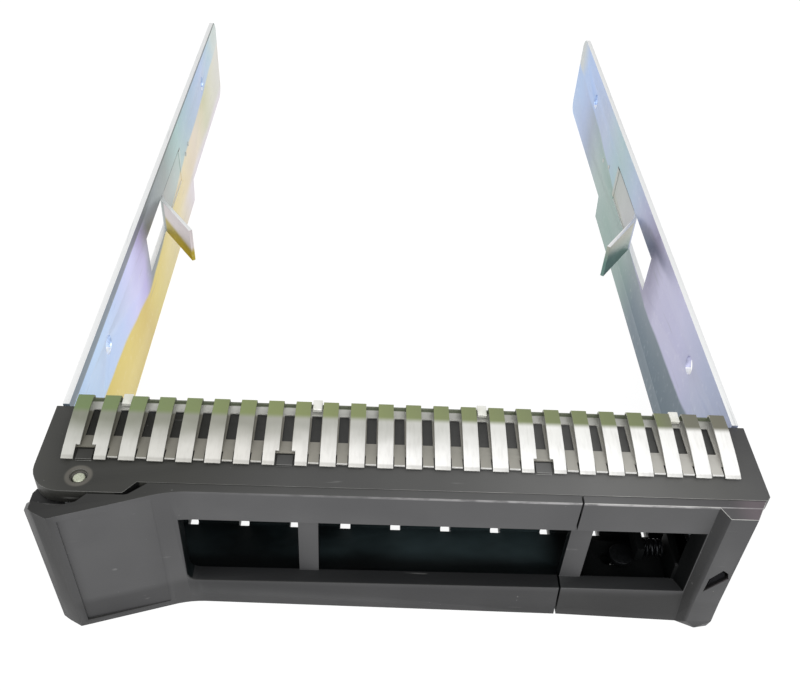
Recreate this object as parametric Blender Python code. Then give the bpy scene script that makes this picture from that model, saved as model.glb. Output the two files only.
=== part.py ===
"""A hot-swap hard disk tray for a server: bezel, swinging handle, sliding latch, contact strip and two rails.

Lengths below are in millimetres. X runs to the right, Y to the back and Z up. Y is counted from the
bezel's rear face, and the world's origin is under the middle of the tray, on the surface it lies on.
"""

import math

import bmesh
import bpy
from mathutils import Vector

MM = 0.001
GAP = 0.3

BEZEL_WIDTH = 105.6
BEZEL_HEIGHT = 26.8
BEZEL_DEPTH = 14.4
HALF = BEZEL_WIDTH / 2
FLOOR_TOP = 2.0
ROOF_UNDER = 24.4
CORNER_RADIUS = 4.6
REAR_WALL = 2.0
SIDE_WALL_IN = 48.7
SIDE_WALL_OUT = 50.7
SIDE_RECESS_FRONT = -9.3

FRONT_Y = -15.9
HANDLE_TIP_Y = -21.3
FLARE_START = (-35.5, -16.78)
FLARE_BEND = 16.0
FLARE_DEGREES = 19.1
LIP_REAR_Y = -14.7
WALL_REAR_Y = -13.4
RIB_FRONT_Y = -13.6
RIB_REAR_Y = -12.1
WALL_LOW = 2.6
WALL_HIGH = 23.9
SEAM_X = 25.3
SEAM_HALF = 0.15
WINDOW_LOW = 6.0
BAR_TOP = WINDOW_LOW - 0.1
WINDOW_HIGH = 20.6
RIB_LOW = 3.6
RIB_HIGH = 22.6

PIN_X = -46.1
PIN_Y = -13.6
PIN_RADIUS = 0.9
PIN_BORE_RADIUS = 1.05
KNUCKLE_RADIUS = 2.4
KNUCKLE_TOP = 18.6

LATCH_TRAVEL = 2.0
GUIDE_X = 36.5
GUIDE_Y = -8.5

FINGER_COUNT = 24
FINGER_WIDTH = 2.3
FINGER_PITCH = 4.046
PITCH_GROWTH = 0.006
FINGER_START = -49.3
STRIP_LOW = 27.1
STRIP_THICK = 0.25
TAB_GAPS = (0, 7, 16)
CLIP_GAPS = (1, 8, 14, 21)

VENT_COUNT = 11
VENT_PITCH = 8.5
VENT_CENTRE = -0.3

RAIL_IN = 51.0
RAIL_OUT = 52.0
RAIL_END = 149.0
RAIL_TOP = 27.0
RIVET_Y = -5.0
RIVET_HEIGHTS = (7.5, 19.0)
SCREW_HOLES = ((21.4, 20.4), (123.0, 20.4))
SCREW_HOLE_RADIUS = 1.75

Y_SHIFT = -(RAIL_END + HANDLE_TIP_Y) / 2


def point(x, y, z):
    """A place in the world, from millimetres counted from the bezel's rear face."""
    return Vector((x, y + Y_SHIFT, z)) * MM


def new_object(name, mesh):
    made = bpy.data.objects.new(name, mesh)
    bpy.context.scene.collection.objects.link(made)
    return made


def loft(name, rings):
    """A closed solid through rings of the same number of points, with flat ends."""
    work = bmesh.new()
    rows = [[work.verts.new(point(*place)) for place in ring] for ring in rings]
    for near, far in zip(rows, rows[1:]):
        for index in range(len(near)):
            after = (index + 1) % len(near)
            work.faces.new((near[index], near[after], far[after], far[index]))
    work.faces.new(list(reversed(rows[0])))
    work.faces.new(rows[-1])
    bmesh.ops.recalc_face_normals(work, faces=work.faces)
    mesh = bpy.data.meshes.new(name)
    work.to_mesh(mesh)
    work.free()
    return new_object(name, mesh)


def prism_z(name, outline, low, high):
    return loft(name, [[(x, y, z) for x, y in outline] for z in (low, high)])


def prism_y(name, outline, low, high):
    return loft(name, [[(x, y, z) for x, z in outline] for y in (low, high)])


def prism_x(name, outline, low, high):
    return loft(name, [[(x, y, z) for y, z in outline] for x in (low, high)])


def box(name, x, y, z):
    outline = [(x[0], y[0]), (x[1], y[0]), (x[1], y[1]), (x[0], y[1])]
    return prism_z(name, outline, z[0], z[1])


def arc(centre, radius, start, end, steps):
    """Points along an arc, with its angles in degrees."""
    angles = [math.radians(start + (end - start) * step / steps) for step in range(steps + 1)]
    return [(centre[0] + radius * math.cos(a), centre[1] + radius * math.sin(a)) for a in angles]


def circle(centre, radius, sides=24):
    return arc(centre, radius, 0, 360, sides)[:-1]


def slot(centre_a, centre_b, radius, steps=8):
    """A stadium outline whose ends are centred on two points of the same y."""
    left, right = sorted((centre_a, centre_b))
    return arc(left, radius, 90, 270, steps) + arc(right, radius, -90, 90, steps)


def combine(target, operation, *tools):
    """Cuts the tools from the target, or joins them to it, and clears them away."""
    for tool in tools:
        modifier = target.modifiers.new("Shape", "BOOLEAN")
        modifier.operation = operation
        modifier.solver = "EXACT"
        modifier.object = tool
        graph = bpy.context.evaluated_depsgraph_get()
        mesh = bpy.data.meshes.new_from_object(target.evaluated_get(graph))
        target.modifiers.clear()
        target.data = mesh
        bpy.data.objects.remove(tool)
    target.data.name = target.name
    return target


def cut(target, *tools):
    return combine(target, "DIFFERENCE", *tools)


def join(target, *tools):
    return combine(target, "UNION", *tools)


def as_one(name, pieces):
    """Separate solids held in one mesh, to cut or join them in one step."""
    work = bmesh.new()
    for piece in pieces:
        work.from_mesh(piece.data)
        bpy.data.objects.remove(piece)
    mesh = bpy.data.meshes.new(name)
    work.to_mesh(mesh)
    work.free()
    return new_object(name, mesh)


def strip_outline(centreline, thickness):
    """The outline of a bent sheet of even thickness around its centreline."""
    points = [Vector(place) for place in centreline]
    sides = ([], [])
    for index, here in enumerate(points):
        before = (here - points[index - 1]).normalized() if index else None
        after = (points[index + 1] - here).normalized() if index + 1 < len(points) else None
        along = ((before or after) + (after or before)).normalized()
        across = Vector((-along.y, along.x))
        reach = thickness / 2 / along.dot(after or before)
        sides[0].append(tuple(here + across * reach))
        sides[1].append(tuple(here - across * reach))
    return sides[0] + sides[1][::-1]


def tube(name, route, radius, sides=6):
    """A round wire along a list of places, with flat ends."""
    places = [Vector(place) for place in route]
    rings = []
    side = Vector((0, 0, 1))
    for index, here in enumerate(places):
        ahead = places[min(index + 1, len(places) - 1)] - places[max(index - 1, 0)]
        ahead.normalize()
        side = (side - ahead * side.dot(ahead)).normalized()
        third = ahead.cross(side)
        turns = [2 * math.pi * step / sides for step in range(sides)]
        rings.append([tuple(here + (side * math.cos(t) + third * math.sin(t)) * radius) for t in turns])
    return loft(name, rings)


def put_origin(piece, x, y, z):
    """Moves the piece's origin without moving the piece."""
    origin = point(x, y, z)
    for vertex in piece.data.vertices:
        vertex.co -= origin
    piece.location = origin
    return piece


def paint(piece, colour, roughness, metallic, smooth_degrees=30):
    material = bpy.data.materials.new(piece.name)
    material.use_nodes = True
    shader = material.node_tree.nodes["Principled BSDF"]
    shader.inputs["Base Color"].default_value = (*colour, 1)
    shader.inputs["Roughness"].default_value = roughness
    shader.inputs["Metallic"].default_value = metallic
    piece.data.materials.clear()
    piece.data.materials.append(material)
    piece.data.shade_smooth()
    piece.data.set_sharp_from_angle(angle=math.radians(smooth_degrees))
    return piece


def plastic(piece):
    return paint(piece, (0.075, 0.075, 0.074), 0.45, 0)


def zinc(piece):
    return paint(piece, (0.62, 0.64, 0.66), 0.28, 1)


def steel(piece):
    return paint(piece, (0.58, 0.57, 0.54), 0.3, 1)


def finger_left(index):
    """The left edge of one contact finger; their spacing grows slightly to the right."""
    return FINGER_START + index * (FINGER_PITCH + PITCH_GROWTH * index)


def gap_centre(index):
    """The middle of the space to the right of one contact finger."""
    return (finger_left(index) + FINGER_WIDTH + finger_left(index + 1)) / 2


def bezel_outline():
    corner = arc((-HALF + CORNER_RADIUS, -11.8), CORNER_RADIUS, 180, 270, 8)
    step = [(-39.4, -16.4), (-37.8, -BEZEL_DEPTH)]
    right = [(52.2, -BEZEL_DEPTH), (HALF, -13.75), (HALF, 0), (-HALF, 0)]
    return corner + step + right


def light_pipe_heights():
    return ((9.9, 11.4), (12.8, 14.3))


def bezel_body():
    body = prism_z("bezel_body", bezel_outline(), 0, BEZEL_HEIGHT)
    inside_z = (FLOOR_TOP, ROOF_UNDER)
    hollow = box("hollow", (-SIDE_WALL_IN, SIDE_WALL_IN), (-20, -REAR_WALL), inside_z)
    left_open = box("left_open", (-HALF - 1, -SIDE_WALL_IN + 1), (-20, -8.9), inside_z)
    right_open = box("right_open", (SIDE_WALL_IN - 1, HALF + 1), (-20, -12.9), inside_z)
    cut(body, hollow, left_open, right_open)
    for side in (-1, 1):
        reach = sorted((side * SIDE_WALL_OUT, side * (HALF + 1)))
        cut(body, box("recess", reach, (SIDE_RECESS_FRONT, 1), inside_z))
        wall = sorted((side * (SIDE_WALL_IN - 1), side * (SIDE_WALL_OUT + 1)))
        holes = [prism_x("hole", circle((RIVET_Y, z), 1.5, 16), *wall) for z in RIVET_HEIGHTS]
        cut(body, as_one("holes", holes))
    vents = []
    for index in range(VENT_COUNT):
        middle = VENT_CENTRE + VENT_PITCH * (index - (VENT_COUNT - 1) / 2)
        vents.append(box("vent", (middle - 0.85, middle + 0.85), (-2.45, 1), (-1, 21.5)))
    pipe_holes = [box("pipe_hole", (46.3, 48.4), (-3, 1), (low - GAP, high + GAP))
                  for low, high in light_pipe_heights()]
    cut(body, as_one("vents", vents), as_one("pipe_holes", pipe_holes))
    pin_place = (PIN_X, PIN_Y)
    cut(body, prism_z("pin_hole", circle(pin_place, PIN_BORE_RADIUS), -1, 30))
    cut(body, prism_z("pin_sink", circle(pin_place, 1.25), BEZEL_HEIGHT - 0.6, 30))
    cut(body, prism_z("lower_guide", circle((GUIDE_X, GUIDE_Y), 1.3, 16), -1, 5))
    cut(body, prism_z("upper_guide", circle((GUIDE_X, GUIDE_Y), 1.3, 16), 20, 25.9))
    for index in TAB_GAPS:
        middle = gap_centre(index)
        join(body, box("tab", (middle - 1.15, middle + 1.15), (-10.75, -8.85), (26, 27.2)))
    join(body, box("spring_arm", (38.2, 39.4), (-10.0, -REAR_WALL + 0.5), (5.9, 8.6)))
    return plastic(body)


def flare_panel():
    """The shallow sunken panel on the handle's flared end, fading out towards the bend."""
    rings = []
    for tip, height in (((-48.5, -20.92), 1.2), ((-48.6, HANDLE_TIP_Y), BEZEL_HEIGHT - 1.2)):
        near = Vector(FLARE_START)
        along = (Vector(tip) - near).normalized()
        out = Vector((-along.y, along.x))
        end = Vector(tip) - along * 1.2
        corners = [near + out, end + out, end - out * 0.3, near - out * 0.08]
        rings.append([(corner.x, corner.y, height) for corner in corners])
    return loft("panel", rings)


def between(near, far, share):
    """The ring of places part of the way from one ring to another."""
    return [tuple(a + (b - a) * share for a, b in zip(*pair)) for pair in zip(near, far)]


def handle_skin():
    """The handle's front, flared at its left end, where the foot is drawn in and the top is cut off."""
    seam = SEAM_X - SEAM_HALF
    bend_centre = (FLARE_START[0] + FLARE_BEND * math.sin(math.radians(FLARE_DEGREES)), FRONT_Y - FLARE_BEND)
    bend = arc(bend_centre, FLARE_BEND, 90, 90 + FLARE_DEGREES, 5)
    foot = [(-48.5, -20.9), (-50.4, -19.9), (-51.6, -19.1), (-51.6, -18.2), (-51.0, -18.35)]
    end = [(-48.6, HANDLE_TIP_Y), (-50.9, -20.1), (-HALF, -18.2), (-HALF, -17.0), (-51.5, -18.05)]
    crown = [(-48.6, HANDLE_TIP_Y), (-50.7, -20.25), (-51.4, -19.7), (-51.4, -18.4), (-50.9, -18.4)]
    inner = [(-49.0, -18.85), (-47.5, -18.95), (-45.4, -18.2), (-44.2, -16.75), (-39.1, -16.75), (-38.6, -16.6)]
    lip = [(-36.2, LIP_REAR_Y), (seam, LIP_REAR_Y)]
    shoulder = 24.6
    levels = ((-16.6, foot, 0), (FRONT_Y, between(foot, end, BAR_TOP / shoulder), BAR_TOP),
              (FRONT_Y, end, shoulder), (FRONT_Y, crown, BEZEL_HEIGHT))
    rings = []
    for front, tip, height in levels:
        ring = [(seam, front)] + bend + tip + inner + lip
        rings.append([(x, y, height) for x, y in ring])
    return loft("handle", rings)


def handle_lobe():
    """The rounded lobe behind the handle's left end, between the bezel's floor and its roof."""
    root = [(-50.3, -13.5), (-48.0, -15.8), (-47.6, -18.6)]
    low = [(-51.7, -18.6), (-51.7, -15.0), (-51.5, -14.2), (-51.1, -13.7)] + root
    high = [(-HALF, -18.2), (-HALF, -14.6), (-52.4, -13.8), (-51.6, -13.4)] + root
    return loft("lobe", [[(x, y, z) for x, y in ring] for ring, z in ((low, WALL_LOW), (high, WALL_HIGH))])


def handle():
    seam = SEAM_X - SEAM_HALF
    skin = handle_skin()
    web_front = [(-36.0, -15.6), (-43.0, -18.2), (-48.6, -19.4)]
    web_rear = [(-48.0, -14.2), (-45.2, -11.9), (-37.5, WALL_REAR_Y), (seam, WALL_REAR_Y)]
    web = prism_z("web", [(seam, -15.2)] + web_front + web_rear, WALL_LOW, WALL_HIGH)
    pin_place = (PIN_X, PIN_Y)
    join(web, prism_z("knuckle", circle(pin_place, KNUCKLE_RADIUS), WALL_LOW, KNUCKLE_TOP + 1))
    cut(web, prism_z("spring_room", circle(pin_place, 3.2), KNUCKLE_TOP, 26))
    cut(web, prism_z("bore", circle(pin_place, PIN_BORE_RADIUS), 1, 25))
    join(web, handle_lobe())
    join(skin, web)
    window = arc((-30.9, 7.3), 1.6, 180, 270, 5) + [(seam + 1, WINDOW_LOW), (seam + 1, WINDOW_HIGH)]
    cut(skin, prism_y("window", window + [(-32.5, WINDOW_HIGH)], -17, -13))
    cut(skin, flare_panel())
    join(skin, box("rib", (-15.5, -12.5), (RIB_FRONT_Y, RIB_REAR_Y), (RIB_LOW, RIB_HIGH)))
    join(skin, box("catch", (seam - 2.6, seam), (RIB_FRONT_Y, -11.6), (21.3, 23.4)))
    return put_origin(plastic(skin), PIN_X, PIN_Y, 0)


def slot_outline(scale=1.0):
    """The slanted light window on the latch's column, about its own middle."""
    corners = [(48.26, 14.61), (49.19, 13.87), (49.57, 12.57), (46.59, 9.2), (46.7, 12.44)]
    middle_x = sum(x for x, z in corners) / len(corners)
    middle_z = sum(z for x, z in corners) / len(corners)
    return [(middle_x + (x - middle_x) * scale, middle_z + (z - middle_z) * scale) for x, z in corners]


def release_latch():
    seam = SEAM_X + SEAM_HALF
    sole = [(seam, -16.6), (44.6, -17.3), (47.4, -18.5), (49.5, -18.1)]
    lower = [(seam, -16.4), (44.7, -17.0), (45.95, -18.25), (49.9, -18.2)]
    upper = [(seam, FRONT_Y), (44.9, FRONT_Y), (45.95, -18.0), (49.9, -18.0)]
    rings = []
    for front, height in ((sole, 0), (lower, 1.4), (upper, BAR_TOP), (upper, BEZEL_HEIGHT)):
        ring = [(seam, LIP_REAR_Y)] + front + [(52.0, LIP_REAR_Y)]
        rings.append([(x, y, height) for x, y in ring])
    latch = loft("release_latch", rings)
    join(latch, box("wall", (seam, 51.4), (-15.3, WALL_REAR_Y), (WALL_LOW, WALL_HIGH)))
    window = [(seam - 1, -13), (43.4, -13), (44.8, -15.8), (44.8, -20), (seam - 1, -20)]
    cut(latch, prism_z("window", window, WINDOW_LOW, WINDOW_HIGH))
    join(latch, box("rib", (seam, 28.8), (RIB_FRONT_Y, RIB_REAR_Y), (RIB_LOW, RIB_HIGH)))
    join(latch, box("nose", (seam, 28.0), (RIB_FRONT_Y, -11.6), (21.3, 23.4)))
    guide = slot((GUIDE_X - LATCH_TRAVEL, GUIDE_Y), (GUIDE_X, GUIDE_Y), 1.3)
    for low, high in ((2.6, 4.0), (22.5, 23.9)):
        join(latch, box("tongue", (30, 44.4), (RIB_FRONT_Y, -5.0), (low, high)))
        cut(latch, prism_z("guide", guide, low - 1, high + 1))
    join(latch, box("spring_seat", (43.2, 44.4), (RIB_FRONT_Y, -6.5), (3.5, 9.6)))
    cut(latch, prism_y("light_window", slot_outline(), -20, -13))
    return put_origin(plastic(latch), SEAM_X, FRONT_Y, 0)


def indicator_lens():
    lens = prism_y("indicator_lens", slot_outline(0.72), -17.6, -14.5)
    paint(lens, (0.01, 0.01, 0.012), 0.15, 0)
    return put_origin(lens, SEAM_X, FRONT_Y, 0)


def light_pipe(name, heights):
    pipe = box(name, (46.6, 48.1), (-13.0, 0), heights)
    paint(pipe, (0.75, 0.78, 0.8), 0.1, 0)


def hinge_pin():
    outline = circle((PIN_X, PIN_Y), PIN_RADIUS)
    pin = prism_z("hinge_pin", outline, 0.3, BEZEL_HEIGHT - 0.3)
    steel(pin)


def coil(centre, axis, radius, length, turns):
    """Places along a helix about the Z or the X axis, starting at its centre's lower end."""
    places = []
    steps = turns * 12
    for step in range(steps + 1):
        angle = 2 * math.pi * step / 12
        round_place = (radius * math.cos(angle), radius * math.sin(angle))
        ahead = length * step / steps
        local = (*round_place, ahead) if axis == "Z" else (ahead, *round_place)
        places.append(tuple(c + d for c, d in zip(centre, local)))
    return places


def handle_spring():
    """A torsion spring round the hinge pin, in the room above the handle's knuckle."""
    radius = 1.9
    low = 19.2
    route = coil((PIN_X, PIN_Y, low), "Z", radius, 4.0, 5)
    lower_leg = (PIN_X + radius, PIN_Y - 1.6, low)
    upper_leg = (PIN_X + radius, PIN_Y + 1.6, low + 4.0)
    steel(tube("handle_spring", [lower_leg] + route + [upper_leg], 0.25))


def latch_spring():
    route = coil((39.7, GUIDE_Y, 7.2), "X", 1.3, 3.2, 4)
    steel(tube("latch_spring", route, 0.2))


def guide_screw(name, head, shank):
    screw = prism_z(name, circle((GUIDE_X, GUIDE_Y), 2.0, 20), *head)
    join(screw, prism_z("shank", circle((GUIDE_X, GUIDE_Y), 1.0, 16), *shank))
    steel(screw)


def finger_centreline():
    top = STRIP_LOW + 1.6
    back = 0.875
    ramp = [(-2.8, top - 0.05), (-6.2, 28.2), (-8.8, 27.72), (-10.2, 27.36), (-10.8, STRIP_LOW + 0.05)]
    return [(back, STRIP_LOW), (back, top - 0.4), (back - 0.35, top), (-2.2, top)] + ramp


def emi_gasket():
    """The spring contact strip: a flat base with a riser behind, and fingers that bow forward."""
    ends = (FINGER_START, finger_left(FINGER_COUNT - 1) + FINGER_WIDTH)
    base = box("emi_gasket", ends, (-10.4, 1.0), (STRIP_LOW, STRIP_LOW + STRIP_THICK))
    join(base, box("riser", ends, (0.75, 1.0), (STRIP_LOW + 0.1, STRIP_LOW + 0.75)))
    openings = []
    for index in range(FINGER_COUNT - 1):
        middle = gap_centre(index)
        openings.append(box("opening", (middle - 0.75, middle + 0.75), (-6.3, -0.9), (26, 28)))
    finger_room = []
    fingers = []
    for index in range(FINGER_COUNT):
        left = finger_left(index)
        reach = (left - 0.15, left + FINGER_WIDTH + 0.15)
        finger_room.append(box("room", reach, (-12, -8.6), (26, 28)))
        profile = strip_outline(finger_centreline(), STRIP_THICK)
        fingers.append(prism_x("finger", profile, left, left + FINGER_WIDTH))
    cut(base, as_one("openings", openings), as_one("finger_room", finger_room))
    join(base, as_one("fingers", fingers))
    rooms = []
    for index in TAB_GAPS:
        middle = gap_centre(index)
        rooms.append(box("tab_room", (middle - 1.45, middle + 1.45), (-12, -8.55), (26, 29)))
    cut(base, as_one("tab_rooms", rooms))
    steel(base)


def gasket_clip(name, middle):
    top = 28.1
    profile = [(-0.3, 27.7), (-0.3, top), (1.4, top), (1.4, 21.0), (0.85, 20.4)]
    clip = prism_x(name, strip_outline(profile, 0.36), middle - 0.72, middle + 0.72)
    steel(clip)


def rail_outline():
    """The rail's side view: a tongue in front, a stepped underside and rounded rear corners."""
    tongue = [(-8.7, 3.2), (GAP, 3.2), (GAP, 0), (100.2, 0), (101.4, 5.2)]
    lower = arc((RAIL_END - 3.0, 8.2), 3.0, 270, 360, 6)
    upper = arc((RAIL_END - 3.5, RAIL_TOP - 3.5), 3.5, 0, 90, 6)
    return tongue + lower + upper + [(GAP, RAIL_TOP), (GAP, 23.7), (-8.7, 23.7)]


def rail(name, side):
    faces = sorted((side * RAIL_IN, side * RAIL_OUT))
    through = sorted((side * (RAIL_IN - 1), side * (RAIL_OUT + 1)))
    plate = prism_x(name, rail_outline(), *faces)
    cut(plate, box("window", through, (53.5, 89.2), (12.3, 20.4)))
    holes = [prism_x("screw_hole", circle(place, SCREW_HOLE_RADIUS, 20), *through)
             for place in SCREW_HOLES]
    holes += [prism_x("rivet_hole", circle((RIVET_Y, z), 1.5, 16), *through) for z in RIVET_HEIGHTS]
    cut(plate, as_one("holes", holes))
    middle = (RAIL_IN + RAIL_OUT) / 2
    bent = [(middle, 90.6), (middle, 71.0), (middle - 1.0, 68.2), (43.0, 57.6)]
    outline = strip_outline([(side * x, y) for x, y in bent], 0.7)
    join(plate, prism_z("spring_tab", outline, 12.6, 20.1))
    zinc(plate)


def rivet(name, side, height):
    """A rivet through the bezel's side wall and the rail's tongue."""
    def disc(part, radius, near, far):
        return prism_x(part, circle((RIVET_Y, height), radius, 16), *sorted((side * near, side * far)))

    body = disc(name, 1.2, 48.0, 52.6)
    join(body, disc("outer_head", 2.0, 52.3, HALF), disc("inner_head", 2.0, 47.8, 48.4))
    zinc(body)


def tray():
    for old in list(bpy.data.objects):
        bpy.data.objects.remove(old)
    bezel_body()
    handle()
    release_latch()
    indicator_lens()
    for name, heights in zip(("light_pipe_status", "light_pipe_activity"), light_pipe_heights()):
        light_pipe(name, heights)
    hinge_pin()
    handle_spring()
    latch_spring()
    guide_screw("latch_guide_screw_lower", (4.3, 5.4), (0.4, 4.5))
    guide_screw("latch_guide_screw_upper", (21.0, 22.2), (22.0, 25.6))
    emi_gasket()
    for number, index in enumerate(CLIP_GAPS, 1):
        gasket_clip(f"gasket_clip_{number}", gap_centre(index))
    for side, word in ((-1, "left"), (1, "right")):
        rail(f"{word}_rail", side)
        for place, height in zip(("lower", "upper"), RIVET_HEIGHTS):
            rivet(f"{word}_rivet_{place}", side, height)


tray()
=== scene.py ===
"""The looks of the hot-swap disk tray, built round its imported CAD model.

Distances in the materials and in at() are millimetres, with X from the middle, Y from the bezel's
rear face and Z from the floor. Colours are screen values from 0 to 255.
"""
import math

import bmesh
import bpy
from mathutils import Matrix, Vector


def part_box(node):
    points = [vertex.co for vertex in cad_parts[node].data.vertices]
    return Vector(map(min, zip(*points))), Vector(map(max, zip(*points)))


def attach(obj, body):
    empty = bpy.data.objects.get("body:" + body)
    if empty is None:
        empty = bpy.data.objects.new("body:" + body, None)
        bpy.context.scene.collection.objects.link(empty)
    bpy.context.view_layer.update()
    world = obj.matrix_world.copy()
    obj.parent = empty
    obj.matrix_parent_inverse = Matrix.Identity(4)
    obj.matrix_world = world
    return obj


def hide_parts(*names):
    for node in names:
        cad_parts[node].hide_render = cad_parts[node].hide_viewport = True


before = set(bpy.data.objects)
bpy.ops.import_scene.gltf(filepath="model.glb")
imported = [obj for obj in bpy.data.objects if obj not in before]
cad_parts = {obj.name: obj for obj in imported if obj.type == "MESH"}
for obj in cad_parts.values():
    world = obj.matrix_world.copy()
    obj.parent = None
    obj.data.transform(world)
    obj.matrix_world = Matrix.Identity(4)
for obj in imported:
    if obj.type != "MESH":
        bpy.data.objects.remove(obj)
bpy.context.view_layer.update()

MM = 0.001
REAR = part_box("bezel_body")[1].y
BODIES = {"handle": "handle", "release_latch": "latch", "indicator_lens": "latch"}
WHITE = (1, 1, 1, 1)


def at(x, y, z):
    """A place in the world, from millimetres counted from the bezel's rear face."""
    return Vector((x * MM, REAR + y * MM, z * MM))


def srgb(red, green, blue):
    """A colour given as 0 to 255 screen values, as the linear colour that a shader takes."""
    def linear(value):
        value /= 255
        return value / 12.92 if value <= 0.04045 else ((value + 0.055) / 1.055) ** 2.4
    return (linear(red), linear(green), linear(blue), 1)


def grey(value):
    return srgb(value, value, value)


def tones(*stops):
    """The stops of a colour ramp, each given as its place in millimetres and its colour."""
    return [(place, srgb(*colour)) for place, *colour in stops]


# ---------------------------------------------------------------- places, in millimetres
PLASTIC_SPAN = (-53, 53)
PIN_TOP = (-46.1, -13.6, 26.8)
# Distances from the pin's top: the painted shade in its hole, and the painted highlight ring round it.
PIN_HOLE_SHADE = (1.3, 1.1)
PIN_HIGHLIGHT_RING = (1.25, 1.9)
# The bezel's inside, which is painted in shade.
BEZEL_SHADED_INSIDE = {"x": (-49.7, 49.7), "y": (-14.2, -1.0), "z": (1.0, 25.6)}
# The step by the handle, painted in shade where it faces forward.
SHADED_STEP_BY_HANDLE = (-40.5, -37.5)
# The next two bound the painted shade behind the front lip, in Y, and below the top, in Z.
LIP_REAR = (-15.85, -15.7)
BEHIND_LIP = (24.2, 23.9)
# The lip's top front edge, drawn as a pale line of wear and painted highlight.
LIP_EDGE = (-16.0, -15.82)
HANDLE_RIB = (-15.6, -12.4)
LATCH_RIB = (22.2, 29.0)
COLUMN_INSIDE = (45.0, 44.9)
# The lens notch, painted in shade.
SHADED_LENS_NOTCH = {"x": (46.2, 49.9), "z": (8.9, 14.9)}
# The handle's bend, painted in shade.
SHADED_HANDLE_BEND = (-37, -31)
STRIP_SPAN = (-50, 50)
RAIL_SPAN = (-10, 150)
TAB_ROOT = {"y": (71, 90.6), "z": (12.6, 19.9)}
# The slit beside the tab, painted in shade.
TAB_SLIT = {"y": (72, 90.4), "z": (19.9, 20.35)}

# ---------------------------------------------------------------- colours
# The bezel's grey along X, darker to the left and lighter to the right: its own grey with painted light
# falling across it.
BEZEL_LIT_TONES = tones((-53, 60, 60, 57), (-46, 46, 46, 43), (-32, 52, 52, 49), (-17, 68, 68, 67),
                    (5, 75, 75, 74), (27, 98, 98, 97), (45, 84, 84, 82), (53, 74, 74, 74))
# Upward faces of the handle and latch: painted shade, darker than the front faces, and lighter to the right
# as the light falls.
TOP_LIT_TONES = tones((-53, 30, 30, 29), (-46, 38, 38, 37), (-36, 46, 46, 44), (-17, 68, 68, 67),
                    (27, 88, 88, 88), (45, 74, 73, 74), (53, 68, 67, 68))
# Front faces of the handle and latch up their height: painted light, lighter than the tops, and darker
# towards the bottom.
FRONT_LIT_TONES = tones((0, 36, 36, 37), (5, 44, 44, 45), (6.4, 62, 62, 63), (20, 67, 67, 68), (27, 69, 69, 70))
# Painted shade inside the bezel and the windows: dark teal tones, and near black in the deepest parts.
INSIDE_SHADE_TONES = [(0.35, (0.004, 0.006, 0.0065, 1)), (0.7, (0.024, 0.037, 0.04, 1))]
DEEP_SHADE = (0.002, 0.0024, 0.0025, 1)
DULLED = (0.72, 0.72, 0.73, 1)

# The contact strip along X, lighter to the right: the ramps' grey to white and the flat tops' olive are
# painted reflection; the base between the fingers is a greyer tone.
FINGER_FOOT_REFLECTION_TONES = tones((-50, 196, 196, 190), (-25, 216, 214, 208), (0, 240, 239, 236),
                          (25, 252, 252, 250), (50, 252, 252, 250))
FINGER_HIGH_REFLECTION_TONES = tones((-50, 130, 133, 118), (-25, 150, 150, 140), (0, 194, 194, 188),
                          (22, 236, 236, 232), (50, 248, 247, 244))
FINGER_TOP_REFLECTION_TONES = tones((-50, 116, 134, 92), (-17, 136, 145, 98), (20, 128, 137, 98),
                         (38, 122, 130, 94), (42, 118, 118, 104), (50, 116, 114, 100))
STRIP_BASE_TONES = tones((-50, 112, 110, 100), (-17, 140, 137, 128), (20, 156, 154, 146),
                         (50, 196, 194, 188))

RAILS = {
    "left": {
        "upper": tones((-10, 186, 214, 248), (14, 190, 216, 248), (28, 192, 208, 244), (40, 206, 206, 246),
                       (50, 188, 180, 226), (57, 138, 144, 150), (74, 144, 154, 152), (88, 160, 190, 188),
                       (106, 160, 184, 206), (122, 172, 190, 222), (136, 176, 200, 212),
                       (144, 200, 210, 206)),
        "lower": tones((-10, 224, 200, 92), (30, 222, 200, 96), (48, 212, 188, 92), (60, 220, 202, 110),
                       (84, 224, 208, 156), (105, 222, 206, 182), (122, 200, 198, 164),
                       (145, 214, 212, 202)),
        # edge: painted shade on the rolled edges.
        "edge": srgb(112, 118, 116), "root": srgb(216, 208, 200), "root_share": 0.3,
        "tab": (srgb(204, 196, 196), srgb(168, 150, 40)), "tab_slope": -0.12, "tab_change": (9.2, 7.6),
    },
    "right": {
        "upper": tones((-10, 150, 160, 184), (14, 168, 176, 202), (30, 186, 186, 214), (44, 182, 180, 208),
                       (52, 134, 130, 160), (62, 158, 162, 192), (76, 164, 182, 206), (92, 156, 184, 190),
                       (108, 162, 178, 208), (128, 162, 186, 228), (142, 166, 192, 232),
                       (150, 196, 202, 202)),
        "lower": tones((-10, 118, 130, 144), (30, 104, 118, 128), (56, 102, 118, 130), (70, 122, 146, 142),
                       (90, 130, 158, 150), (104, 140, 164, 160), (122, 142, 156, 176), (134, 160, 178, 214),
                       (145, 166, 192, 230)),
        # edge: painted light on the rolled edges.
        "edge": srgb(196, 202, 206), "root": srgb(182, 178, 168), "root_share": 0.7,
        "tab": (srgb(96, 126, 118), srgb(170, 170, 158)), "tab_slope": 0.25, "tab_change": (30, 36),
    },
}


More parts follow.
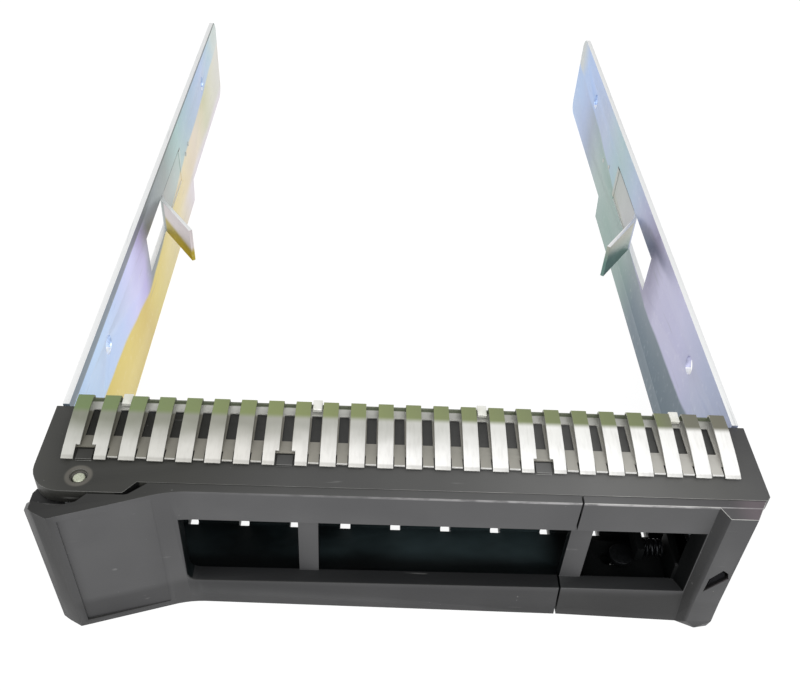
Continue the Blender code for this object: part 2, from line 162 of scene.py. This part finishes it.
# ---------------------------------------------------------------- node trees
class Nodes:
    """A short way to write a material's node tree. Its x, y and z are the place on the piece."""

    def __init__(self, name):
        self.material = bpy.data.materials.new(name)
        self.material.use_nodes = True
        self.tree = self.material.node_tree
        self.shader = self.tree.nodes["Principled BSDF"]
        coordinates = self.add("ShaderNodeTexCoord").outputs["Object"]
        shift = (0, -REAR / MM, 0)
        placed = self.add("ShaderNodeVectorMath", {0: coordinates, 1: (1 / MM,) * 3, 2: shift},
                          operation="MULTIPLY_ADD")
        self.place = placed.outputs[0]
        self.x, self.y, self.z = self.split(self.place)

    def add(self, kind, inputs=None, **settings):
        node = self.tree.nodes.new(kind)
        for key, value in settings.items():
            setattr(node, key, value)
        for key, value in (inputs or {}).items():
            self.link(value, node.inputs[key])
        return node

    def link(self, value, socket):
        if isinstance(value, bpy.types.NodeSocket):
            self.tree.links.new(value, socket)
        else:
            socket.default_value = value

    def set(self, **values):
        for key, value in values.items():
            self.link(value, self.shader.inputs[key.replace("_", " ")])

    def split(self, vector):
        return self.add("ShaderNodeSeparateXYZ", {0: vector}).outputs

    def face(self):
        """The three parts of the face's own direction, as the piece stands at rest."""
        towards = self.add("ShaderNodeNewGeometry").outputs["True Normal"]
        turned = self.add("ShaderNodeVectorTransform", {0: towards}, vector_type="NORMAL",
                          convert_from="WORLD", convert_to="OBJECT")
        return self.split(turned.outputs[0])

    def math(self, operation, first, second=0.0):
        return self.add("ShaderNodeMath", {0: first, 1: second}, operation=operation).outputs[0]

    def scaled(self, value, factor, shift):
        """The value times a factor, plus a shift."""
        inputs = {0: value, 1: factor, 2: shift}
        return self.add("ShaderNodeMath", inputs, operation="MULTIPLY_ADD").outputs[0]

    def times(self, *values):
        total = values[0]
        for value in values[1:]:
            total = self.math("MULTIPLY", total, value)
        return total

    def most(self, *values):
        """The largest of several values."""
        total = values[0]
        for value in values[1:]:
            total = self.math("MAXIMUM", total, value)
        return total

    def without(self, share):
        """One less a share."""
        return self.math("SUBTRACT", 1.0, share)

    def rise(self, value, start, end, low=0.0, high=1.0):
        """Goes smoothly from low to high as the value goes from start to end."""
        inputs = {"Value": value, "From Min": start, "From Max": end, "To Min": low, "To Max": high}
        return self.add("ShaderNodeMapRange", inputs, interpolation_type="SMOOTHSTEP").outputs[0]

    def between(self, value, low, high, soft=0.1):
        """One between low and high, and nought outside."""
        above = self.rise(value, low - soft, low + soft)
        return self.times(above, self.rise(value, high + soft, high - soft))

    def within(self, soft=0.1, **spans):
        """One inside the spans given for x, y or z, and nought outside."""
        return self.times(*[self.between(getattr(self, axis), *span, soft) for axis, span in spans.items()])

    def noise(self, size, detail=3.0, stretch=(1, 1, 1)):
        """Cloudy noise with patches of about a size in millimetres, drawn out where stretch is small."""
        vector = self.add("ShaderNodeVectorMath", {0: self.place, 1: stretch}, operation="MULTIPLY")
        inputs = {"Vector": vector.outputs[0], "Scale": 1 / size, "Detail": detail, "Roughness": 0.5}
        return self.add("ShaderNodeTexNoise", inputs).outputs[0]

    def mix(self, share, first, second, blend="MIX"):
        inputs = {0: share, 6: first, 7: second}
        return self.add("ShaderNodeMix", inputs, data_type="RGBA", blend_type=blend).outputs[2]

    def paint(self, under, over, *shares):
        """One colour over another, by the product of its shares."""
        return self.mix(self.times(*shares), under, over)

    def ramp(self, value, span, stops):
        """A colour that changes along a value within a span; the stops are (value, colour)."""
        start, end = span
        inputs = {"Value": value, "From Min": start, "From Max": end}
        along = self.add("ShaderNodeMapRange", inputs).outputs[0]
        node = self.add("ShaderNodeValToRGB", {0: along})
        elements = node.color_ramp.elements
        while len(elements) < len(stops):
            elements.new(0.5)
        for element, (where, colour) in zip(elements, stops):
            element.position = (where - start) / (end - start)
            element.color = colour
        return node.outputs[0]

    def bump(self, height, distance, strength):
        inputs = {"Height": height, "Distance": distance * MM, "Strength": strength}
        return self.add("ShaderNodeBump", inputs).outputs[0]


# ---------------------------------------------------------------- materials
def moulded_finish(made, colour, dark, wear_and_highlight):
    """Fine moulding grain, faint streaks, specks, edges rubbed light with a painted highlight, and painted
    shade where dark is high, over a base colour.
    """
    _, along, up = made.face()
    lit = made.without(dark)
    cloud = made.noise(size=14)
    dulled = made.mix(1.0, colour, DULLED, "MULTIPLY")
    colour = made.mix(made.rise(cloud, 0.3, 0.7, 0, 0.35), colour, dulled)

    # Top front edges painted pale: partly wear, partly a painted highlight, patchy and stronger to the
    # right, and kept out of the painted shade.
    top_edge = made.times(made.between(up, 0.2, 0.96, 0.03), made.rise(along, -0.05, -0.15))
    patchy = made.rise(made.noise(2.2, 4, (0.35, 1, 1)), 0.34, 0.62, 0.4, 1.0)
    colour = made.paint(colour, srgb(186, 186, 182), top_edge, made.rise(made.z, 25, 26), patchy, wear_and_highlight, lit)

    scratched = made.rise(made.noise(size=5, detail=2), 0.5, 0.62)
    scratch = made.times(made.rise(made.noise(0.9, 2, (0.05, 1, 1)), 0.69, 0.74), scratched)
    speck = made.rise(made.noise(size=0.55, detail=1), 0.79, 0.82)
    colour = made.paint(colour, srgb(140, 140, 138), made.most(scratch, speck), 0.3, lit)

    # Painted shade inside: dark teal with darker patches, near black towards the ends and the front of the
    # floor.
    inside = made.ramp(made.noise(9, 3, (0.5, 1, 1)), (0.35, 0.7), INSIDE_SHADE_TONES)
    right_end, left_end = made.rise(made.x, 22, 28), made.rise(made.x, -20, -30, 0, 0.5)
    floor_front = made.rise(made.y, -6.5, -9.5, 0, 0.85)
    inside = made.mix(made.most(left_end, floor_front, right_end), inside, DEEP_SHADE)
    colour = made.mix(dark, colour, inside)
    made.set(Base_Color=colour, Roughness=made.rise(cloud, 0.3, 0.7, 0.46, 0.56),
             Specular_IOR_Level=made.scaled(dark, -0.3, 0.4),
             Normal=made.bump(made.noise(size=0.32, detail=2), 0.02, 0.5))


def bezel_plastic():
    """The bezel's plastic, with painted shade inside, in the sunk hole round the hinge pin and on the step
    by the handle, and a pale painted highlight ring round the pin.
    """
    made = Nodes("bezel_plastic")
    _, along, _ = made.face()
    # Painted shade on the front-facing step by the handle.
    step = made.times(made.rise(along, -0.3, -0.5), made.between(made.x, *SHADED_STEP_BY_HANDLE),
                      made.rise(made.z, 22, 23))
    to_pin = made.add("ShaderNodeVectorMath", {0: made.place, 1: PIN_TOP}, operation="DISTANCE").outputs[1]
    colour = made.ramp(made.x, PLASTIC_SPAN, BEZEL_LIT_TONES)
    # A pale painted highlight ring round the hinge pin.
    colour = made.paint(colour, srgb(112, 108, 100), made.between(to_pin, *PIN_HIGHLIGHT_RING, 0.2), 0.5)
    # Painted shade in the hole round the pin and on the step.
    colour = made.paint(colour, grey(14), made.most(made.rise(to_pin, *PIN_HOLE_SHADE), step))
    # Painted shade over the bezel's inside; pale top edges, partly wear and partly painted highlight,
    # stronger to the right.
    moulded_finish(made, colour, made.within(**BEZEL_SHADED_INSIDE), made.rise(made.x, -30, 40, 0.35, 0.8))
    return made.material


def latch_tones_and_shade(made, colour, across, up, upright):
    """The latch's tones: dark low bar and paler column, with painted shade on the window side and in the
    black notch, and a pink painted highlight on the corner.
    """
    colour = made.paint(colour, grey(33), made.rise(made.z, 7, 5.5), made.rise(made.y, -15.9, -16.1))
    # Painted shade on the column's side facing the window, darker low down.
    shaded_window_side = made.times(made.rise(across, -0.6, -0.8), made.rise(made.x, 44.5, 44.7))
    colour = made.paint(colour, grey(16), shaded_window_side, made.rise(made.z, 26, 6, 0.55, 1.0))
    # A pink painted highlight on the upward faces of the right corner.
    colour = made.paint(colour, srgb(104, 94, 99), made.rise(up, 0.5, 0.8), made.rise(made.x, 46, 50), 0.7)
    column = made.times(made.rise(made.y, -16.5, -17.5), made.rise(made.x, 45.5, 46.0), upright)
    colour = made.paint(colour, srgb(62, 62, 63), column, made.rise(made.z, 22, 2, 0.6, 0.8))
    # Painted shade in the lens notch.
    return made.paint(colour, grey(6), made.within(**SHADED_LENS_NOTCH), made.rise(made.y, -17.9, -17.7))


def handle_tones_and_shade(made, colour, across, upright):
    """The handle's tones: a darker low bar, and painted shade on the left end, end face, hollow and bend."""
    along_bar = made.times(made.rise(made.x, -8, -24), made.rise(made.x, -37, -33))
    colour = made.paint(colour, srgb(32, 33, 34), made.rise(made.z, 6.6, 5.0), along_bar, 0.6)
    # Painted shade on the left end, on its faces turned left and on the hollow at its front.
    colour = made.paint(colour, grey(38), upright, made.rise(made.x, -46, -49), 0.85)
    colour = made.paint(colour, grey(20), made.rise(across, -0.38, -0.5))
    colour = made.paint(colour, grey(30), made.rise(made.x, -47, -48), made.rise(made.y, -17, -16.2))
    # Painted shade along the handle's bend.
    return made.paint(colour, srgb(48, 48, 49), made.between(made.x, *SHADED_HANDLE_BEND, 2.5), upright, 0.35)


def front_plastic(name, latch):
    """The handle's and the latch's plastic: front faces painted lighter than the tops, and painted shade
    behind and in the windows.
    """
    made = Nodes(name)
    across, along, up = made.face()
    upright = made.rise(up, 0.3, 0.1)
    # Painted light and shade: front faces take lighter tones, upward faces darker ones.
    colour = made.mix(made.rise(up, 0.5, 0.8), made.ramp(made.z, (0, 27), FRONT_LIT_TONES),
                      made.ramp(made.x, PLASTIC_SPAN, TOP_LIT_TONES))
    ribs = made.most(made.between(made.x, *HANDLE_RIB), made.between(made.x, *LATCH_RIB))
    rib_fronts = made.times(ribs, made.rise(along, -0.8, -0.9))
    # Painted shade behind the front lip and below the top, in the windows, leaving the rib fronts lit.
    behind = made.times(made.rise(made.y, *LIP_REAR), made.rise(made.z, *BEHIND_LIP),
                        made.without(rib_fronts))
    if latch:
        colour = latch_tones_and_shade(made, colour, across, up, upright)
        behind = made.times(behind, made.rise(made.x, *COLUMN_INSIDE))
    else:
        colour = handle_tones_and_shade(made, colour, across, upright)
        behind = made.times(behind, made.rise(made.x, -36.5, -35.5))

    # Painted shade on the sill inside the windows.
    sill = made.times(made.rise(up, 0.8, 0.9), made.rise(made.y, -13.1, -13.35))
    colour = made.paint(colour, srgb(27, 28, 29), behind, sill)
    behind = made.times(behind, made.without(sill))
    # A thin pale line on the lip's top front edge: partly wear, partly a painted highlight, stronger to the
    # right.
    lip_wear_and_highlight = made.rise(made.noise(1.1, 4, (0.5, 1, 1)), 0.3, 0.6, 0.25, 1.0)
    colour = made.paint(colour, srgb(200, 198, 198), made.between(made.y, *LIP_EDGE, 0.06),
                        made.rise(made.z, 26.35, 26.5), made.rise(made.x, -38, 44, 0.0, 0.5), lip_wear_and_highlight)
    moulded_finish(made, colour, behind, made.rise(made.x, -40, 40, 0.25, 0.85))
    return made.material


def dark_lens():
    made = Nodes("dark_lens")
    cloud = made.noise(size=0.6, detail=2)
    made.set(Base_Color=made.mix(cloud, (0.003, 0.003, 0.004, 1), (0.008, 0.008, 0.009, 1)),
             Roughness=made.rise(cloud, 0.2, 0.8, 0.5, 0.65), Specular_IOR_Level=0.04)
    return made.material


def clear_pipe():
    made = Nodes("clear_pipe")
    cloud = made.noise(size=1.2, detail=2)
    made.set(Base_Color=made.mix(cloud, srgb(90, 100, 105), srgb(140, 150, 155)), Roughness=0.15,
             Transmission_Weight=0.4, IOR=1.49)
    return made.material


def brushed_steel(name, light, dark, size=0.25, roughness=0.32, metallic=0.8):
    """Metal with fine streaks of two tones and a few darker stains."""
    made = Nodes(name)
    streak = made.noise(size)
    stain = made.noise(size=3.5)
    colour = made.mix(made.rise(streak, 0.3, 0.7), dark, light)
    colour = made.mix(made.rise(stain, 0.5, 0.75, 0, 0.3), colour, dark)
    made.set(Base_Color=colour, Metallic=metallic, Normal=made.bump(streak, 0.01, 0.4),
             Roughness=made.rise(streak, 0.2, 0.8, roughness - 0.06, roughness + 0.1))
    return made.material


def contact_steel():
    """The contact strip: flat tops with a painted olive reflection, ramps with a painted bright reflection,
    painted shade on the finger sides, darker lips and a dull base.
    """
    made = Nodes("contact_steel")
    across, _, _ = made.face()
    streak = made.noise(0.5, 3, (1, 0.1, 1))
    # Painted reflection down each ramp, from grey near the top to near white at the foot.
    sheen = made.rise(made.scaled(made.noise(size=4, detail=2), 3.0, made.y), -2.2, -7.6)
    finger = made.mix(sheen, made.ramp(made.x, STRIP_SPAN, FINGER_HIGH_REFLECTION_TONES),
                      made.ramp(made.x, STRIP_SPAN, FINGER_FOOT_REFLECTION_TONES))
    finger = made.mix(made.rise(streak, 0.4, 0.75, 0, 0.16), finger, srgb(150, 148, 140))
    # Flat tops take a painted olive reflection.
    flat_top = made.ramp(made.x, STRIP_SPAN, FINGER_TOP_REFLECTION_TONES)
    colour = made.mix(made.rise(made.y, -3.2, -2.0), finger, flat_top)
    colour = made.paint(colour, srgb(130, 128, 122), made.rise(made.y, -10.1, -10.5),
                        made.rise(made.z, 27.6, 27.4), 0.4)

    base = made.ramp(made.x, STRIP_SPAN, STRIP_BASE_TONES)
    base = made.mix(made.rise(made.y, -1.6, -1.0), base, srgb(186, 186, 180))
    colour = made.paint(colour, base, made.rise(made.z, 27.45, 27.36), made.rise(made.y, -10.35, -10.2))
    riser = made.times(made.rise(made.y, 0.55, 0.7), made.rise(made.z, 28.24, 28.18))
    colour = made.paint(colour, srgb(104, 110, 92), riser)
    # Painted shade on the finger sides, darker to the left.
    side_shade_colour = made.mix(made.rise(made.x, 0, 30), srgb(84, 82, 74), srgb(206, 206, 196))
    colour = made.paint(colour, side_shade_colour, made.rise(made.math("ABSOLUTE", across), 0.5, 0.8), 0.5)
    made.set(Base_Color=colour, Metallic=0.35, Roughness=made.rise(streak, 0.2, 0.8, 0.28, 0.42),
             Normal=made.bump(made.noise(1.6, 3, (1, 0.4, 1)), 0.05, 0.5))
    return made.material


def left_rail_tones_and_shade(made, colour, wavy_z):
    """The left rail's tones: a pale lower rear, a painted dark reflection as a band under its top flange,
    and a painted shadow along its top edge.
    """
    colour = made.paint(colour, srgb(222, 214, 222), made.rise(made.y, 78, 104), made.rise(wavy_z, 8.5, 5.0))
    # Painted dark reflection under the top flange, and painted shadow along the top edge.
    flange = made.times(made.rise(made.z, 24.9, 25.3), made.rise(made.y, 66, 50))
    return made.paint(colour, srgb(98, 104, 102), made.most(flange, made.rise(made.z, 26.2, 26.4)), 0.8)


def zinc(side):
    """Passivated zinc: pale blue and lilac above, and a yellow or slate band below."""
    made = Nodes("zinc_" + side)
    look = RAILS[side]
    across, _, up = made.face()
    wander = made.noise(16, 3, (1, 0.4, 1))
    centred = made.math("SUBTRACT", wander, 0.5)
    wavy_y, wavy_z = made.scaled(centred, 22.0, made.y), made.scaled(centred, 6.0, made.z)
    line = made.most(made.scaled(made.y, -0.11, 16.0), made.scaled(made.y, 0.1, 5.5))
    colour = made.mix(made.rise(made.math("SUBTRACT", wavy_z, line), 0.5, -0.5),
                      made.ramp(wavy_y, RAIL_SPAN, look["upper"]),
                      made.ramp(wavy_y, RAIL_SPAN, look["lower"]))
    if side == "left":
        colour = left_rail_tones_and_shade(made, colour, wavy_z)
    colour = made.paint(colour, look["root"], made.within(y=TAB_ROOT["y"], soft=0.5),
                        made.within(z=TAB_ROOT["z"]), look["root_share"])
    # Painted shade in the slit beside the tab.
    colour = made.paint(colour, srgb(30, 34, 34), made.within(y=TAB_SLIT["y"], soft=0.3),
                        made.within(z=TAB_SLIT["z"]))
    tab_height = made.scaled(made.y, look["tab_slope"], made.z)
    tab_colour = made.mix(made.rise(tab_height, *look["tab_change"]), *look["tab"])
    colour = made.paint(colour, tab_colour, made.rise(made.math("ABSOLUTE", made.x), 50.6, 50.2))
    # Painted highlight: the rails' upward faces near white, as if flooded with light.
    colour = made.paint(colour, (0.93, 0.94, 0.94, 1), made.rise(up, 0.75, 0.95))
    # Painted light and shade on the rolled edges: a dark line on the left rail, a pale one on the right.
    bend = made.rise(made.math("ABSOLUTE", made.times(across, up)), 0.2, 0.4)
    colour = made.paint(colour, look["edge"], bend, 0.8)
    colour = made.paint(colour, WHITE, made.rise(made.noise(size=1.3, detail=2), 0.55, 0.85, 0, 0.12))
    # Painted shade where the rails reach into the bezel.
    colour = made.paint(colour, srgb(36, 38, 38), made.rise(made.y, -0.6, -1.2))
    scuff = made.rise(made.noise(0.8, 2, (1, 0.06, 1)), 0.66, 0.72)
    colour = made.paint(colour, srgb(120, 126, 130), scuff, 0.2)
    made.set(Base_Color=colour, Metallic=0.55, Roughness=made.rise(wander, 0.3, 0.7, 0.3, 0.42),
             Normal=made.bump(made.noise(size=6), 0.12, 0.5))
    return made.material


MATERIALS = {
    "bezel_plastic": bezel_plastic(),
    "handle_plastic": front_plastic("handle_plastic", latch=False),
    "latch_plastic": front_plastic("latch_plastic", latch=True),
    "lens_black": dark_lens(),
    "light_pipe_clear": clear_pipe(),
    "pin_steel": brushed_steel("pin_steel", srgb(208, 212, 192), srgb(172, 176, 156), metallic=0.4),
    "spring_steel": brushed_steel("spring_steel", srgb(34, 36, 38), srgb(14, 16, 18)),
    "screw_steel": brushed_steel("screw_steel", srgb(24, 26, 28), srgb(10, 12, 14), roughness=0.5),
    "contact_steel": contact_steel(),
    "clip_steel": brushed_steel("clip_steel", srgb(240, 240, 234), srgb(222, 222, 210), size=2.0,
                                metallic=0.3),
    "zinc_left": zinc("left"),
    "zinc_right": zinc("right"),
    "rivet_zinc": brushed_steel("rivet_zinc", srgb(206, 208, 204), srgb(150, 154, 152)),
}


# ---------------------------------------------------------------- pieces
MERGE = 0.002
CLOSE = 0.01
FLAT_DEGREES = 0.6
SHARP_DEGREES = 24
LIP_LOW = 26
LIP_MOVE = (-14.7, -14.52)
WIRE_RADIUS = 0.14
WIRE_CENTRE = (46.4, 14.4)
DIMPLE_RADIUS = 0.55
DIMPLE_FLATNESS = 0.35
DIMPLE_X = 51.0
DIMPLES = ((1, 98.0, 15.6), (1, 104.0, 14.0), (-1, 96.0, 15.4), (-1, 99.5, 16.2))


def finished(piece, body, slot, material=None):
    """Gives a piece its material, which is the slot's unless another is named, and its body."""
    piece.data.materials.clear()
    piece.data.materials.append(MATERIALS[material or slot])
    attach(piece, body)
    return piece


def new_piece(name, work):
    """A new object in the scene with the mesh of a bmesh."""
    mesh = bpy.data.meshes.new(name)
    work.to_mesh(mesh)
    work.free()
    piece = bpy.data.objects.new(name, mesh)
    bpy.context.scene.collection.objects.link(piece)
    return piece


def smooth(piece):
    for face in piece.data.polygons:
        face.use_smooth = True


def refined(node, slot, width, material=None, segments=2, lip=None):
    """The CAD piece again, in whole flat faces, with its edges rounded.

    lip moves the rear edge of the front's top, from one Y to another.
    """
    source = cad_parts[node]
    work = bmesh.new()
    work.from_mesh(source.data)
    work.transform(source.matrix_world)
    bmesh.ops.remove_doubles(work, verts=work.verts, dist=MERGE * MM)
    bmesh.ops.dissolve_limit(work, angle_limit=math.radians(FLAT_DEGREES), verts=work.verts,
                             edges=work.edges)
    if lip:
        was, now = (REAR + y * MM for y in lip)
        for vertex in work.verts:
            if vertex.co.z > LIP_LOW * MM and abs(vertex.co.y - was) < CLOSE * MM:
                vertex.co.y = now
    piece = new_piece("fine_" + node, work)
    smooth(piece)
    bevel = piece.modifiers.new("Bevel", "BEVEL")
    bevel.width = width * MM
    bevel.segments = segments
    bevel.limit_method = "ANGLE"
    bevel.angle_limit = math.radians(SHARP_DEGREES)
    bevel.harden_normals = True
    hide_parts(node)
    return finished(piece, BODIES.get(node, "tray"), slot, material)


refined("bezel_body", "bezel_plastic", 0.22)
refined("handle", "handle_plastic", 0.3, lip=LIP_MOVE)
refined("release_latch", "latch_plastic", 0.3, lip=LIP_MOVE)
refined("indicator_lens", "lens_black", 0.08)
for pipe in ("light_pipe_status", "light_pipe_activity"):
    refined(pipe, "light_pipe_clear", 0.1)
refined("hinge_pin", "pin_steel", 0.22, segments=3)
for spring in ("handle_spring", "latch_spring"):
    refined(spring, "spring_steel", 0.02, segments=1)
for end in ("lower", "upper"):
    refined("latch_guide_screw_" + end, "screw_steel", 0.12)
refined("emi_gasket", "contact_steel", 0.05)
for number in range(1, 5):
    refined(f"gasket_clip_{number}", "clip_steel", 0.08)
for word in ("left", "right"):
    refined(word + "_rail", "rail_zinc", 0.12, "zinc_" + word)
    for end in ("lower", "upper"):
        refined(f"{word}_rivet_{end}", "rivet_zinc", 0.15)


def wire(name, route, radius, slot):
    """A round wire along a list of places."""
    curve = bpy.data.curves.new(name, "CURVE")
    curve.dimensions = "3D"
    curve.bevel_depth = radius * MM
    curve.bevel_resolution = 3
    curve.use_fill_caps = True
    spline = curve.splines.new("POLY")
    spline.points.add(len(route) - 1)
    for spot, place in zip(spline.points, route):
        spot.co = (*at(*place), 1)
    shaped = bpy.data.objects.new(name, curve)
    bpy.context.scene.collection.objects.link(shaped)
    graph = bpy.context.evaluated_depsgraph_get()
    mesh = bpy.data.meshes.new_from_object(shaped.evaluated_get(graph))
    bpy.data.objects.remove(shaped)
    piece = bpy.data.objects.new(name, mesh)
    bpy.context.scene.collection.objects.link(piece)
    smooth(piece)
    return finished(piece, "tray", slot)


def turn(centre, radius, start, end, steps, y):
    """Places along an arc that faces the front."""
    angles = [math.radians(start + (end - start) * step / steps) for step in range(steps + 1)]
    return [(centre[0] + radius * math.cos(a), y, centre[1] + radius * math.sin(a)) for a in angles]


def rail_dimple(number, side, y, z):
    """A small pressed bump on a rail's wall."""
    work = bmesh.new()
    bmesh.ops.create_uvsphere(work, u_segments=16, v_segments=10, radius=DIMPLE_RADIUS * MM)
    bmesh.ops.scale(work, vec=(DIMPLE_FLATNESS, 1, 1), verts=work.verts)
    bmesh.ops.translate(work, vec=at(side * DIMPLE_X, y, z), verts=work.verts)
    dimple = new_piece(f"rail_dimple_{number}", work)
    smooth(dimple)
    finished(dimple, "tray", "rail_zinc", "rivet_zinc")


bow = turn(WIRE_CENTRE, radius=2.6, start=120, end=240, steps=12, y=-7.6)
wire("latch_wire", bow, WIRE_RADIUS, "contact_steel")
for number, where in enumerate(DIMPLES, 1):
    rail_dimple(number, *where)


# ---------------------------------------------------------------- stage
SENSOR_WIDTH = 36
LENS = 41.48
CAMERA_PLACE = (-5.997, -99.206, 128.285)
CAMERA_RIGHT = (0.99877877, -0.00258848, 0.04933829)
CAMERA_UP = (-0.03538395, 0.65947526, 0.75089304)
FLOOR_DROP = 0.05
FLOOR_GLOW = 0.93
SKY_ABOVE = (0.5, 0.62)
SKY_FRONT = (-0.8, 1.45)
KEY_PLACE = (60, -260, 300)
KEY_TARGET = (0, -10, 20)
KEY_SIZE = (0.3, 0.2)
KEY_POWER = 0.6


def camera():
    """The view from above the front of the bezel."""
    data = bpy.data.cameras.new("camera")
    data.sensor_width = SENSOR_WIDTH
    data.lens = LENS
    shown = bpy.data.objects.new("camera", data)
    bpy.context.scene.collection.objects.link(shown)
    right, up = Vector(CAMERA_RIGHT), Vector(CAMERA_UP)
    facing = Matrix((right, up, right.cross(up))).transposed().to_4x4()
    shown.matrix_world = Matrix.Translation(at(*CAMERA_PLACE)) @ facing
    bpy.context.scene.camera = shown


def floor():
    """A white surface that glows enough to hide all but the closest shadow."""
    work = bmesh.new()
    bmesh.ops.create_grid(work, x_segments=1, y_segments=1, size=3)
    surface = new_piece("floor", work)
    surface.location.z = -FLOOR_DROP * MM
    made = Nodes("floor_white")
    paper = made.noise(size=9, detail=2)
    made.set(Base_Color=made.mix(paper, (0.1, 0.1, 0.1, 1), (0.13, 0.13, 0.13, 1)), Roughness=1.0,
             Specular_IOR_Level=0.0, Emission_Color=WHITE, Emission_Strength=FLOOR_GLOW)
    surface.data.materials.append(made.material)


def sky():
    """Bright in front and dimmer overhead."""
    world = bpy.data.worlds.new("sky")
    bpy.context.scene.world = world
    world.use_nodes = True
    tree = world.node_tree
    background = tree.nodes["Background"]
    direction = tree.nodes.new("ShaderNodeTexCoord")
    parts = tree.nodes.new("ShaderNodeSeparateXYZ")
    tree.links.new(direction.outputs["Generated"], parts.inputs[0])
    strength = tree.nodes.new("ShaderNodeMapRange")
    strength.interpolation_type = "SMOOTHSTEP"
    for end, (towards_rear, bright) in (("Min", SKY_ABOVE), ("Max", SKY_FRONT)):
        strength.inputs["From " + end].default_value = towards_rear
        strength.inputs["To " + end].default_value = bright
    tree.links.new(parts.outputs["Y"], strength.inputs["Value"])
    tree.links.new(strength.outputs[0], background.inputs["Strength"])
    background.inputs["Color"].default_value = WHITE


def lamp(name, place, target, size, power):
    """A soft rectangular light turned towards a place."""
    data = bpy.data.lights.new(name, "AREA")
    data.shape = "RECTANGLE"
    data.size, data.size_y = size
    data.energy = power
    shown = bpy.data.objects.new(name, data)
    bpy.context.scene.collection.objects.link(shown)
    shown.location = place
    shown.rotation_euler = (target - place).to_track_quat("-Z", "Y").to_euler()


camera()
floor()
sky()
lamp("key", at(*KEY_PLACE), at(*KEY_TARGET), KEY_SIZE, KEY_POWER)
bpy.context.scene.view_settings.view_transform = "Standard"
